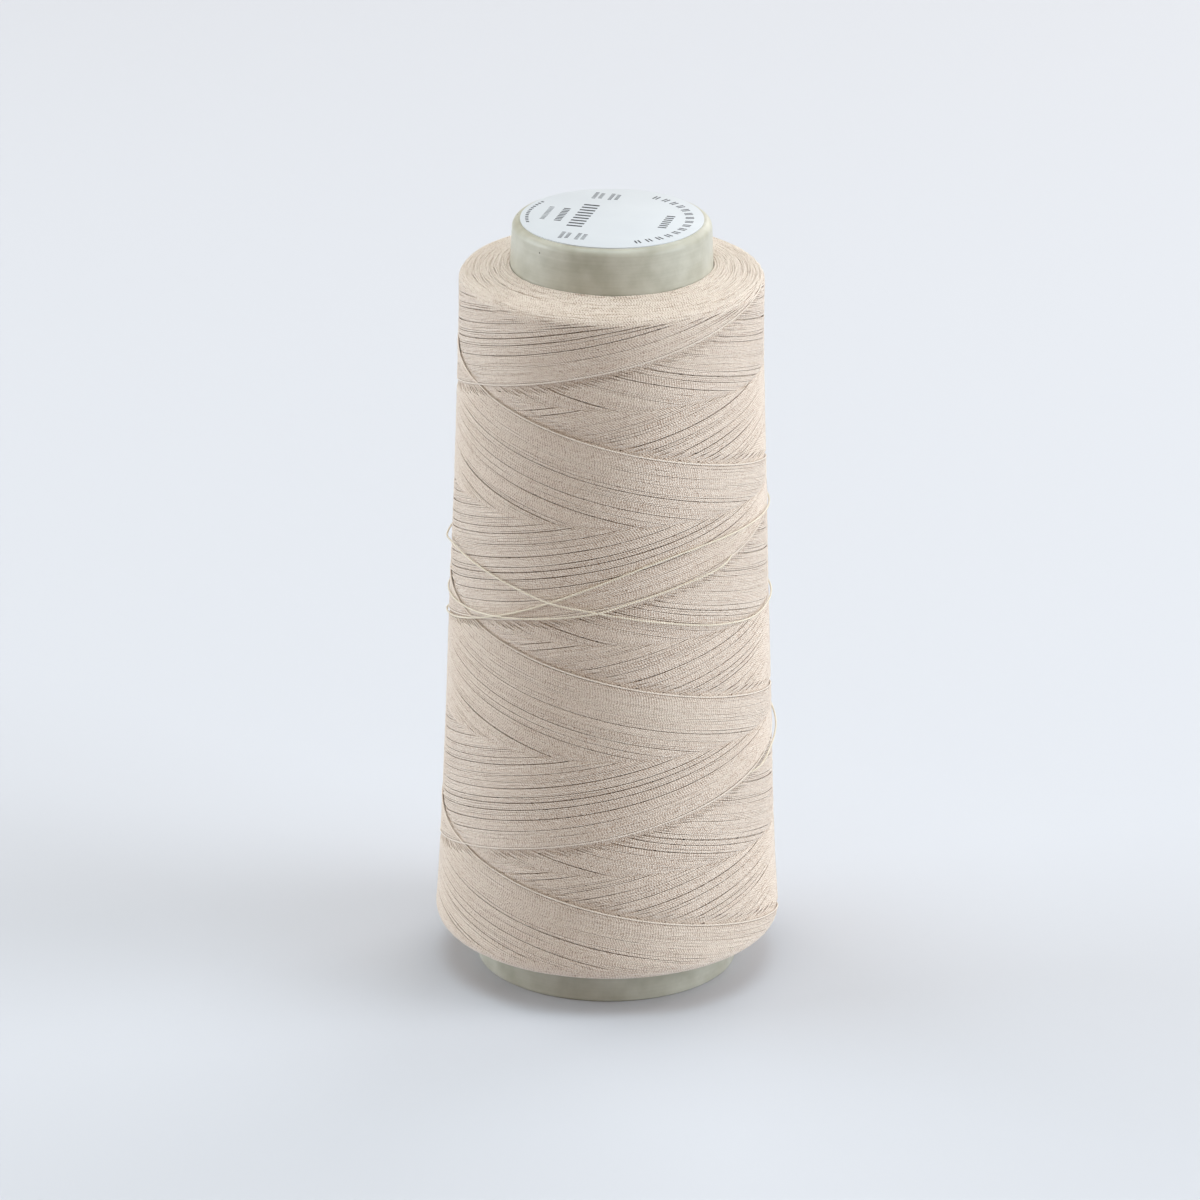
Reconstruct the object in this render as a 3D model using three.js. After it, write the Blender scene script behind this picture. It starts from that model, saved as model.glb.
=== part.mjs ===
// A cone of sewing thread: a tapered moulded tube, cross-wound with thread, with a paper label on its closed end.
// Millimetres, +Z up. The origin is the centre of the tube's open foot, on the surface that the cone stands on.
import * as THREE from "three";

// Driving dimensions.
const OVERALL_HEIGHT = 115;
const LABEL_THICKNESS = 0.15;
const LABEL_RADIUS = 13.26;
const FOOT_RADIUS = 19.2;
const NOSE_RADIUS = 14.45;
const NOSE_ROUNDING = 1.15;
const FOOT_ROUNDING = 0.35;
const WALL = 1.5;
const END_WALL = 1.6;
const SPINDLE_HOLE_RADIUS = 5;

const WINDING_BASE = 5.7; // lowest point of the winding
const WINDING_TOP = 108.2; // where the winding meets the tube
const BASE_SHOULDER_RADIUS = 25.25;
const TOP_SHOULDER_RADIUS = 21.95;
const BASE_SHOULDER_ROUNDING = 2.5;
const TOP_SHOULDER_ROUNDING = 1.2;
const WAIST = 0.38; // how far the winding draws in between its firmer ends
const WAIST_POWER = 6; // high, so that the draw-in is level but for its ends
const TOP_FACE_FALL = 1.2; // from the tube to the shoulder
const WINDING_CLEARANCE = 0.3; // between the winding and the tube

const THREAD_DIAMETER = 0.3;
const THREAD_SIDES = 8;
const THREAD_STEPS = 80;

const TURN_SEGMENTS = 72;
const ROUNDING_STEPS = 4;

// Worked out from the driving dimensions.
const NOSE_Z = OVERALL_HEIGHT - LABEL_THICKNESS;
const NOSE_ROUNDING_Z = NOSE_Z - NOSE_ROUNDING;
const TAPER = (FOOT_RADIUS - NOSE_RADIUS) / NOSE_ROUNDING_Z;
const BASE_SHOULDER_Z = WINDING_BASE + BASE_SHOULDER_ROUNDING;
const TOP_SHOULDER_Z = WINDING_TOP - TOP_FACE_FALL - TOP_SHOULDER_ROUNDING;

const tubeRadius = (z) => FOOT_RADIUS - TAPER * z;

/** The winding's outer radius at a height between its two shoulders. */
function windingRadius(z) {
  const share = (z - BASE_SHOULDER_Z) / (TOP_SHOULDER_Z - BASE_SHOULDER_Z);
  const straight = THREE.MathUtils.lerp(BASE_SHOULDER_RADIUS, TOP_SHOULDER_RADIUS, share);
  return straight - WAIST * (1 - Math.abs(2 * share - 1) ** WAIST_POWER);
}

/** Points of an arc in the profile plane, from one angle to another in degrees, both ends included. */
function arc(radius, z, rounding, from, to, steps = ROUNDING_STEPS) {
  return Array.from({ length: steps + 1 }, (_, i) => {
    const angle = THREE.MathUtils.degToRad(from + ((to - from) * i) / steps);
    return new THREE.Vector2(radius + rounding * Math.cos(angle), z + rounding * Math.sin(angle));
  });
}

/** A solid of revolution about Z from a profile of radius and height that runs anticlockwise. */
function turned(profile) {
  const closed = [...profile, profile[0].clone()];
  return new THREE.LatheGeometry(closed, TURN_SEGMENTS).rotateX(Math.PI / 2);
}

/** A named mesh of one sub-part. */
function piece(name, geometry, color, roughness) {
  const material = new THREE.MeshStandardMaterial({ color, roughness, metalness: 0 });
  const mesh = new THREE.Mesh(geometry, material);
  mesh.name = name;
  return mesh;
}

/** The moulded tube: a tapered wall with an open foot, and an end wall with a spindle hole. */
function coneTube() {
  const innerRadius = (z) => tubeRadius(z) - WALL;
  const endWallZ = NOSE_Z - END_WALL;
  const profile = [
    ...arc(FOOT_RADIUS - FOOT_ROUNDING, FOOT_ROUNDING, FOOT_ROUNDING, -90, 0, 3),
    ...arc(NOSE_RADIUS - NOSE_ROUNDING, NOSE_ROUNDING_Z, NOSE_ROUNDING, 0, 90, 5),
    new THREE.Vector2(SPINDLE_HOLE_RADIUS, NOSE_Z),
    new THREE.Vector2(SPINDLE_HOLE_RADIUS, endWallZ),
    new THREE.Vector2(innerRadius(endWallZ), endWallZ),
    new THREE.Vector2(innerRadius(0), 0),
  ];
  return piece("cone_tube", turned(profile), 0xc9c8b8, 0.45);
}

/** The cross-wound thread as one body: flat-topped, waisted, with a rounded base shoulder. */
function threadWinding() {
  const steps = 12;
  const side = Array.from({ length: steps - 1 }, (_, i) => {
    const z = THREE.MathUtils.lerp(BASE_SHOULDER_Z, TOP_SHOULDER_Z, (i + 1) / steps);
    return new THREE.Vector2(windingRadius(z), z);
  });
  const bore = (z) => new THREE.Vector2(tubeRadius(z) + WINDING_CLEARANCE, z);
  const baseCentre = BASE_SHOULDER_RADIUS - BASE_SHOULDER_ROUNDING;
  const topCentre = TOP_SHOULDER_RADIUS - TOP_SHOULDER_ROUNDING;
  const profile = [
    bore(WINDING_BASE),
    ...arc(baseCentre, BASE_SHOULDER_Z, BASE_SHOULDER_ROUNDING, -90, 0),
    ...side,
    ...arc(topCentre, TOP_SHOULDER_Z, TOP_SHOULDER_ROUNDING, 0, 90),
    bore(WINDING_TOP),
  ];
  return piece("thread_winding", turned(profile), 0xd8c8b6, 0.75);
}

/** The paper label on the end wall, over the spindle hole. */
function labelDisc() {
  const profile = [
    new THREE.Vector2(0, NOSE_Z),
    new THREE.Vector2(LABEL_RADIUS, NOSE_Z),
    new THREE.Vector2(LABEL_RADIUS, OVERALL_HEIGHT),
    new THREE.Vector2(0, OVERALL_HEIGHT),
  ];
  const geometry = new THREE.LatheGeometry(profile, TURN_SEGMENTS).rotateX(Math.PI / 2);
  return piece("label_disc", geometry, 0xf2f3f5, 0.6);
}

// The loose last wraps of the thread: degrees round the cone from the front, height, and stand-off from the winding.
// The thread leaves the winding at the front right, goes round the cone three times, and goes back in beside its start.
const RUNNING_END = [
  [-298, 34.0, 0.42],
  [-284, 35.4, 0.6],
  [-270, 36.8, 0.8],
  [-255, 38.3, 0.6],
  [-215, 42.2, 0.42],
  [-170, 46.6, 0.42],
  [-130, 50.6, 0.42],
  [-95, 54.0, 0.5],
  [-65, 57.0, 0.42],
  [-40, 60.6, 0.42],
  [-20, 64.2, 0.42],
  [-4, 67.2, 0.42],
  [18, 70.5, 0.42],
  [35, 71.8, 0.42],
  [55, 72.3, 0.5],
  [95, 71.8, 0.5],
  [140, 70.4, 0.42],
  [190, 68.4, 0.42],
  [235, 66.4, 0.42],
  [268, 66.0, 0.85],
  [284, 67.2, 0.85],
  [300, 66.8, 0.6],
  [326, 65.1, 0.6],
  [340, 64.0, 1.0],
  [353, 63.2, 0.55],
  [376, 61.4, 0.42],
  [406, 58.8, 0.42],
  [424, 57.8, 0.42],
  [440, 57.9, 0.5],
  [480, 57.4, 0.5],
  [540, 56.6, 0.42],
  [600, 57.2, 0.42],
  [642, 58.6, 0.42],
  [664, 59.4, 0.6],
  [676, 60.1, 0.95],
  [690, 60.9, 0.55],
  [704, 62.0, 0.6],
  [716, 63.2, 1.0],
  [728, 64.6, 0.55],
  [745, 66.3, 0.42],
  [768, 68.6, 0.42],
];

/** A smooth line through the running end's points, eased in angle, height and stand-off. */
class RunningEndPath extends THREE.Curve {
  constructor() {
    super();
    this.eased = new THREE.CatmullRomCurve3(RUNNING_END.map((point) => new THREE.Vector3(...point)));
  }

  getPoint(t, target = new THREE.Vector3()) {
    const { x: degrees, y: z, z: standOff } = this.eased.getPoint(t);
    const angle = THREE.MathUtils.degToRad(degrees - 90);
    const radius = windingRadius(z) + standOff;
    return target.set(radius * Math.cos(angle), radius * Math.sin(angle), z);
  }
}

/** The running end as a plain tube. */
function runningEnd() {
  const section = new THREE.Shape();
  for (let i = 0; i < THREAD_SIDES; i++) {
    const angle = (2 * Math.PI * i) / THREAD_SIDES;
    const x = (THREAD_DIAMETER / 2) * Math.cos(angle);
    const y = (THREAD_DIAMETER / 2) * Math.sin(angle);
    if (i) section.lineTo(x, y);
    else section.moveTo(x, y);
  }
  section.closePath();
  const geometry = new THREE.ExtrudeGeometry(section, {
    steps: THREAD_STEPS,
    extrudePath: new RunningEndPath(),
  });
  return piece("running_end", geometry, 0xe6d8c6, 0.7);
}

const cone = new THREE.Group();
cone.add(coneTube(), threadWinding(), labelDisc(), runningEnd());

export default cone;
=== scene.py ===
"""A cone of cross-wound sewing thread on a tapered plastic tube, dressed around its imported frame.

The winding's outer layer is laid thread by thread, as a winding machine lays it: every stroke climbs or
falls round the cone at one slope, each lies about a thread's width beside the last, and the newest lie on top.
"""

import logging
import math
from collections.abc import Callable, Sequence
from dataclasses import dataclass, field
from enum import Enum

import bmesh
import bpy
import numpy as np
from mathutils import Matrix, Vector


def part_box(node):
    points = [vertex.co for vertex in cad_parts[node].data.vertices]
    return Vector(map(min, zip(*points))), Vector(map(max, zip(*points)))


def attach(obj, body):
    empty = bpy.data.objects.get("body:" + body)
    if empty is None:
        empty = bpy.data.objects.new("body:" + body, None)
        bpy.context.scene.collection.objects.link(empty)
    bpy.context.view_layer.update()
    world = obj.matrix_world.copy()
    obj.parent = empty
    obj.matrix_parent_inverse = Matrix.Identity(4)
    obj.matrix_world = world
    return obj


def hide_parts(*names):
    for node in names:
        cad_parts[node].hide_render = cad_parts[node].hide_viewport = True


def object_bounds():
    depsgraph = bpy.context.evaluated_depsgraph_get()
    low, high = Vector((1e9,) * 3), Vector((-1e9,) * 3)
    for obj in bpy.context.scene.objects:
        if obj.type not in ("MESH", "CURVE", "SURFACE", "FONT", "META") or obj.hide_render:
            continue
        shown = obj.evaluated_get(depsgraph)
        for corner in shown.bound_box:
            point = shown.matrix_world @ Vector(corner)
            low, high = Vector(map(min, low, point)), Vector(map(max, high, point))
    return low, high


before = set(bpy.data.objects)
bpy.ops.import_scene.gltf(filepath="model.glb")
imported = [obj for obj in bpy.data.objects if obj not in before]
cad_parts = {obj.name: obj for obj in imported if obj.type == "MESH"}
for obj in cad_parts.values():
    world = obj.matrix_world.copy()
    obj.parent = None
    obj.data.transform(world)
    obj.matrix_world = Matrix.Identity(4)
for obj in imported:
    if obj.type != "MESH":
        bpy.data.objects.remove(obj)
CAD_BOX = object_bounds()

MM = 0.001
TURN = 2 * math.pi
BODY = "root"
LOG = logging.getLogger("thread_cone")

Tree = bpy.types.NodeTree
Socket = bpy.types.NodeSocket
SocketValue = Socket | float | Sequence[float]


class Lay(Enum):
    """Which way a stroke of thread runs as it goes round the cone to the right."""

    RISING = 1
    FALLING = -1


class Shoulder(Enum):
    """The end of the winding where strokes turn back."""

    BASE = "base"
    NOSE = "nose"


# ------------------------------------------------------------
# Colour and nodes
# ------------------------------------------------------------


def linear(hex_colour: str) -> tuple[float, float, float, float]:
    """Turn an sRGB hex colour into linear light.

    Args:
        hex_colour: Six hex digits after a hash.

    Returns:
        Red, green and blue in linear light, with an alpha of 1.
    """
    channels = (int(hex_colour[i : i + 2], 16) / 255 for i in (1, 3, 5))
    red, green, blue = (c / 12.92 if c <= 0.04045 else ((c + 0.055) / 1.055) ** 2.4 for c in channels)
    return (red, green, blue, 1.0)


def add_node(
    tree: Tree, kind: str, sockets: dict[str | int, SocketValue] | None = None, **settings: object
) -> bpy.types.Node:
    """Add a shader node with its settings, values and links.

    Args:
        tree: The node tree of a material or world.
        kind: The node's type without its ShaderNode prefix.
        sockets: Input name or number to a value, or to the socket that feeds it.
        **settings: The node's own properties.

    Returns:
        The new node.
    """
    made = tree.nodes.new(f"ShaderNode{kind}")
    for key, value in settings.items():
        setattr(made, key, value)
    for key, value in (sockets or {}).items():
        if isinstance(value, Socket):
            tree.links.new(value, made.inputs[key])
        else:
            made.inputs[key].default_value = value
    return made


def new_material(name: str) -> tuple[bpy.types.Material, Tree]:
    """Make an empty node material.

    Args:
        name: The finish's name.

    Returns:
        The material and its node tree.
    """
    material = bpy.data.materials.new(name)
    material.use_nodes = True
    material.node_tree.nodes.clear()
    return material, material.node_tree


def maths(tree: Tree, operation: str, *values: SocketValue) -> Socket:
    """Add a maths node, each of its values a number or the socket that feeds it, and return its result."""
    return add_node(tree, "Math", dict(enumerate(values)), operation=operation).outputs[0]


def noise(tree: Tree, spot: Socket, grain: float, detail: float) -> Socket:
    """Add a noise pattern with grains of about one size, in the units of its places, and return its value."""
    return add_node(tree, "TexNoise", {"Vector": spot, "Scale": 1 / grain, "Detail": detail}).outputs[0]


def mixed(tree: Tree, share: Socket, deep: SocketValue, pale: SocketValue) -> Socket:
    """Mix two colours by a share, held between 0 and 1, and return the colour."""
    return add_node(tree, "Mix", {0: share, 6: deep, 7: pale}, data_type="RGBA").outputs[2]


def relief(tree: Tree, height: Socket, depth: float, strength: float = 1.0) -> Socket:
    """Turn a height pattern of a given depth in metres into a bumped normal, and return it."""
    return add_node(tree, "Bump", {"Height": height, "Distance": depth, "Strength": strength}).outputs[0]


def object_place(tree: Tree) -> Socket:
    """Return the place on the piece, in metres."""
    return add_node(tree, "TexCoord").outputs["Object"]


def shade(tree: Tree, sockets: dict[str | int, SocketValue]) -> None:
    """Add the shader with its values and links, and join it to the material's output."""
    shader = add_node(tree, "BsdfPrincipled", sockets)
    add_node(tree, "OutputMaterial", {"Surface": shader.outputs[0]})


# ------------------------------------------------------------
# Finishes
# ------------------------------------------------------------


@dataclass(frozen=True)
class SpunThread:
    """Spun polyester sewing thread: three plies of short fibres, twisted together and dyed beige.

    It is soft and matt, with slanting grooves between its plies, a tone that changes from stroke to stroke,
    and a faint sheen from loose fibres seen edge on. Its colour is darker in the grooves, as painted shade.
    """

    name: str = "spun_polyester_thread"
    pale: str = "#ede0d3"
    # The deep end of the mix, reached in the grooves between plies, is partly painted shade.
    deep: str = "#a2806a"
    plies: int = 3
    twist_mm: float = 1.2
    fibre_mm: float = 0.33
    slub_mm: float = 4.5
    # How strongly the grooves between plies darken the colour: painted shade.
    groove_shade_weight: float = 0.8
    fibre_weight: float = 2.6
    slub_weight: float = 0.45
    tone_weight: float = 0.2
    mean_share: float = 0.94
    strand_shift: float = 97.0
    fibre_relief: float = 0.6
    groove_depth_mm: float = 0.05
    roughness: float = 0.62
    sheen: float = 0.48

    def material(self) -> bpy.types.Material:
        """Make the material, which follows the thread by its map of length in mm and share of a turn."""
        material, tree = new_material(self.name)
        place = add_node(tree, "SeparateXYZ", {0: add_node(tree, "UVMap", uv_map="along").outputs[0]})
        along, around = place.outputs[0], place.outputs[1]
        tone = add_node(tree, "Attribute", attribute_name="tone").outputs["Fac"]

        strand = maths(tree, "MULTIPLY", tone, self.strand_shift)
        climb = maths(tree, "MULTIPLY_ADD", along, self.plies / self.twist_mm, strand)
        angle = maths(tree, "MULTIPLY", maths(tree, "ADD", around, climb), TURN)
        ply = maths(tree, "MULTIPLY_ADD", maths(tree, "COSINE", angle), 0.5, 0.5)

        spot = add_node(tree, "CombineXYZ", {0: along, 1: around, 2: strand}).outputs[0]
        fibres = noise(tree, spot, self.fibre_mm, 2.0)
        slubs = noise(tree, spot, self.slub_mm, 2.0)

        # The ply pattern darkens the colour in the grooves between plies, as painted shade; a tone far above 1
        # pales a stroke as a painted highlight.
        parts = (
            (tone, self.tone_weight),
            (slubs, self.slub_weight),
            (fibres, self.fibre_weight),
            (ply, self.groove_shade_weight),
        )
        share: SocketValue = self.mean_share - sum(weight for _, weight in parts) / 2
        for value, weight in parts:
            share = maths(tree, "MULTIPLY_ADD", value, weight, share)

        height = maths(tree, "MULTIPLY_ADD", fibres, self.fibre_relief, ply)
        finish = {
            "Base Color": mixed(tree, share, linear(self.deep), linear(self.pale)),
            "Roughness": self.roughness,
            "Specular IOR Level": 0.4,
            "Sheen Weight": self.sheen,
            "Sheen Roughness": 0.4,
            "Normal": relief(tree, height, self.groove_depth_mm * MM),
        }
        shade(tree, finish)
        return material


@dataclass(frozen=True)
class ThreadBed:
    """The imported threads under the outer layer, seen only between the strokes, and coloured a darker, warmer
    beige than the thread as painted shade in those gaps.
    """

    name: str = "thread_bed_painted_shade"
    # Both colours are the thread's beige darkened: painted shade between the strokes.
    pale: str = "#a8876f"
    deep: str = "#86614b"
    strand_mm: float = 0.25
    rings_per_scale: float = 0.31
    ring_depth_mm: float = 0.1

    def material(self) -> bpy.types.Material:
        """Make the material, whose fine rings stand for buried threads."""
        material, tree = new_material(self.name)
        rings = add_node(
            tree,
            "TexWave",
            {
                "Vector": object_place(tree),
                "Scale": self.rings_per_scale / (self.strand_mm * MM),
                "Distortion": 2.0,
                "Detail": 2.0,
            },
            bands_direction="Z",
        ).outputs["Fac"]
        finish = {
            "Base Color": mixed(tree, rings, linear(self.deep), linear(self.pale)),
            "Roughness": 0.85,
            "Normal": relief(tree, rings, self.ring_depth_mm * MM),
        }
        shade(tree, finish)
        return material


@dataclass(frozen=True)
class MouldedPolypropylene:
    """Natural polypropylene, injection moulded: a waxy, slightly milky grey with a satin surface.

    Handling gives it faint rubs round the cone and a few dark specks.
    """

    name: str = "moulded_polypropylene"
    pale: str = "#cac8bc"
    deep: str = "#a3a08f"
    speck: str = "#625f55"
    roughness: float = 0.36
    mottle_mm: float = 4.0
    mottle_gain: float = 1.5
    mottle_shift: float = -0.45
    peel_mm: float = 0.5
    rub_mm: float = 0.3
    rubs_across: float = 60.0
    rub_weight: float = 0.4
    rub_relief: float = 0.8
    relief_mm: float = 0.02
    speck_cell_mm: float = 3.2
    speck_mm: float = 0.14
    clean_share: float = 0.62

    def material(self) -> bpy.types.Material:
        """Make the material from object coordinates."""
        material, tree = new_material(self.name)
        spot = object_place(tree)
        mottle = noise(tree, spot, self.mottle_mm * MM, 3.0)
        peel = noise(tree, spot, self.peel_mm * MM, 2.0)
        stretch = (self.rubs_across, self.rubs_across, 1 / (self.rub_mm * MM))
        rubbed = add_node(tree, "Mapping", {"Vector": spot, "Scale": stretch})
        rubs = noise(tree, rubbed.outputs[0], 1.0, 4.0)

        cell = {"Vector": spot, "Scale": 1 / (self.speck_cell_mm * MM)}
        cells = add_node(tree, "TexVoronoi", cell, feature="F1")
        speck_edge = (0.6 * self.speck_mm / self.speck_cell_mm, 1.2 * self.speck_mm / self.speck_cell_mm)
        near = self._ranged(tree, cells.outputs["Distance"], speck_edge, (1.0, 0.0))
        dice = add_node(tree, "SeparateColor", {0: cells.outputs["Color"]}).outputs[0]
        speck = maths(tree, "MULTIPLY", near, maths(tree, "GREATER_THAN", dice, self.clean_share))

        clouds = maths(tree, "MULTIPLY_ADD", mottle, self.mottle_gain, self.mottle_shift)
        share = maths(tree, "MULTIPLY_ADD", rubs, self.rub_weight, clouds)
        body = mixed(tree, share, linear(self.deep), linear(self.pale))
        height = maths(tree, "MULTIPLY_ADD", rubs, self.rub_relief, peel)
        finish = {
            "Base Color": mixed(tree, speck, body, linear(self.speck)),
            "Roughness": self._ranged(tree, rubs, (0.3, 0.7), (self.roughness - 0.07, self.roughness + 0.1)),
            "IOR": 1.49,
            "Subsurface Weight": 0.12,
            "Subsurface Radius": (1.0, 0.9, 0.7),
            "Subsurface Scale": 1.2 * MM,
            "Normal": relief(tree, height, self.relief_mm * MM, 0.7),
        }
        shade(tree, finish)
        return material

    @staticmethod
    def _ranged(tree: Tree, value: Socket, given: tuple[float, float], wanted: tuple[float, float]) -> Socket:
        """Map a value from one range to another and return it."""
        names = ("Value", "From Min", "From Max", "To Min", "To Max")
        return add_node(tree, "MapRange", dict(zip(names, (value, *given, *wanted)))).outputs[0]


@dataclass(frozen=True)
class LabelPaper:
    """Smooth white label paper, faintly blue from its brightener, with a soft tooth."""

    name: str = "white_label_paper"
    pale: str = "#d3d7dc"
    deep: str = "#cbcfd5"
    tooth_mm: float = 0.25
    tooth_depth_mm: float = 0.01
    cloud_mm: float = 6

    def material(self) -> bpy.types.Material:
        """Make the material from object coordinates."""
        material, tree = new_material(self.name)
        spot = object_place(tree)
        tooth = noise(tree, spot, self.tooth_mm * MM, 3.0)
        cloud = noise(tree, spot, self.cloud_mm * MM, 2.0)
        finish = {
            "Base Color": mixed(tree, cloud, linear(self.deep), linear(self.pale)),
            "Roughness": 0.5,
            "Normal": relief(tree, tooth, self.tooth_depth_mm * MM, 0.5),
        }
        shade(tree, finish)
        return material


@dataclass(frozen=True)
class PrintingInk:
    """Black toner on the label, a little uneven where the paper's tooth shows through."""

    name: str = "label_ink"
    pale: str = "#42464f"
    deep: str = "#24272c"
    patch_mm: float = 0.4

    def material(self) -> bpy.types.Material:
        """Make the material from object coordinates."""
        material, tree = new_material(self.name)
        patch = noise(tree, object_place(tree), self.patch_mm * MM, 2.0)
        colour = mixed(tree, patch, linear(self.deep), linear(self.pale))
        shade(tree, {"Base Color": colour, "Roughness": 0.6})
        return material


@dataclass(frozen=True)
class StudioPaper:
    """The plain pale sweep that the cone stands on."""

    name: str = "studio_paper"
    colour: str = "#cdcfd6"

    def material(self) -> bpy.types.Material:
        """Make the material, matt all over."""
        material, tree = new_material(self.name)
        shade(tree, {"Base Color": linear(self.colour), "Roughness": 0.9, "Specular IOR Level": 0.1})
        return material


# ------------------------------------------------------------
# Working in edit mode
# ------------------------------------------------------------


def clear_selection() -> None:
    """Deselect every object, because an operator acts on all that is selected."""
    if bpy.context.object and bpy.context.object.mode != "OBJECT":
        bpy.ops.object.mode_set(mode="OBJECT")
    bpy.ops.object.select_all(action="DESELECT")


def pick(kind: str, find: Callable[[bmesh.types.BMesh], list]) -> None:
    """Select, in edit mode, just what is found in the mesh.

    Args:
        kind: FACE or EDGE.
        find: Takes the mesh and returns its chosen faces or edges.
    """
    bpy.ops.mesh.select_mode(type=kind)
    bpy.ops.mesh.select_all(action="DESELECT")
    mesh = bpy.context.edit_object.data
    shape = bmesh.from_edit_mesh(mesh)
    for chosen in find(shape):
        chosen.select_set(True)
    bmesh.update_edit_mesh(mesh)


def pick_faces(test: Callable[[Vector, Vector], bool]) -> None:
    """Select, in edit mode, just the faces whose middle and normal pass a test."""
    pick("FACE", lambda shape: [face for face in shape.faces if test(face.calc_center_median(), face.normal)])


def pick_edges(test: Callable[[Vector], bool]) -> None:
    """Select, in edit mode, just the edges whose two ends pass a test."""
    pick("EDGE", lambda shape: [edge for edge in shape.edges if all(test(end.co) for end in edge.verts)])


def distance_out(point: Vector) -> float:
    """Return a point's distance from the cone's axis."""
    return math.hypot(point.x, point.y)


def leave_edit(name: str, smooth_below: float = 35.0) -> bpy.types.Object:
    """Finish the mesh in hand: back to object mode, faces outward, smooth but for its sharp edges.

    Args:
        name: The piece's name.
        smooth_below: The steepest fold, in degrees, that is still shaded smooth.

    Returns:
        The finished object, at the origin, unturned and unscaled.
    """
    bpy.ops.object.mode_set(mode="OBJECT")
    piece = bpy.context.object
    piece.name = name
    piece.data.name = name
    bpy.ops.object.transform_apply(location=True, rotation=True, scale=True)
    shape = bmesh.new()
    shape.from_mesh(piece.data)
    if shape.calc_volume(signed=True) < 0:
        bmesh.ops.reverse_faces(shape, faces=shape.faces)
        shape.to_mesh(piece.data)
    shape.free()
    bpy.ops.object.shade_smooth_by_angle(angle=math.radians(smooth_below))
    return piece


def dress(piece: bpy.types.Object, material: bpy.types.Material) -> None:
    """Give a piece its only material and attach it to the body.

    Args:
        piece: The piece.
        material: Its material.
    """
    piece.data.materials.clear()
    piece.data.materials.append(material)
    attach(piece, BODY)


def report(piece: bpy.types.Object) -> None:
    """Log a finished piece with its triangle count."""
    triangles = sum(len(polygon.vertices) - 2 for polygon in piece.data.polygons)
    LOG.info("%s: %d triangles", piece.name, triangles)


# ------------------------------------------------------------
# Outline of the winding
# ------------------------------------------------------------


@dataclass(frozen=True)
class WindingOutline:
    """The winding's outline, from under its base shoulder, up its side, and in over its top face."""

    base_z: float
    top_z: float
    base_radius: float
    tube_foot_radius: float
    tube_taper: float
    top_radius: float = 21.95 * MM
    base_rounding: float = 2.5 * MM
    top_rounding: float = 1.2 * MM
    top_fall: float = 1.2 * MM
    waist: float = 0.38 * MM
    waist_power: int = 6

    @property
    def side_foot_z(self) -> float:
        """Height where the base shoulder's rounding ends."""
        return self.base_z + self.base_rounding

    @property
    def side_head_z(self) -> float:
        """Height where the top shoulder's rounding starts."""
        return self.top_z - self.top_fall - self.top_rounding

    def tube_radius(self, z: float) -> float:
        """Return the tube's outer radius at a height."""
        return self.tube_foot_radius - self.tube_taper * z

    def side_radius(self, z: np.ndarray) -> np.ndarray:
        """Return the winding's radius at heights between its shoulders."""
        share = (z - self.side_foot_z) / (self.side_head_z - self.side_foot_z)
        straight = self.base_radius + (self.top_radius - self.base_radius) * share
        return straight - self.waist * (1 - np.abs(2 * share - 1) ** self.waist_power)

    def outline(self) -> np.ndarray:
        """Return the outline as rows of radius and height."""
        turn = np.linspace(0, math.pi / 2, 17)
        base_centre = self.base_radius - self.base_rounding
        top_centre = self.top_radius - self.top_rounding
        side_z = np.linspace(self.side_foot_z, self.side_head_z, 120)[1:-1]
        base = [
            base_centre + self.base_rounding * np.sin(turn),
            self.side_foot_z - self.base_rounding * np.cos(turn),
        ]
        top = [
            top_centre + self.top_rounding * np.cos(turn),
            self.side_head_z + self.top_rounding * np.sin(turn),
        ]
        parts = [
            [[self.tube_radius(self.base_z)], [self.base_z]],
            base,
            [self.side_radius(side_z), side_z],
            top,
            [[self.tube_radius(self.top_z)], [self.top_z]],
        ]
        return np.concatenate([np.column_stack(part) for part in parts])


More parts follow.
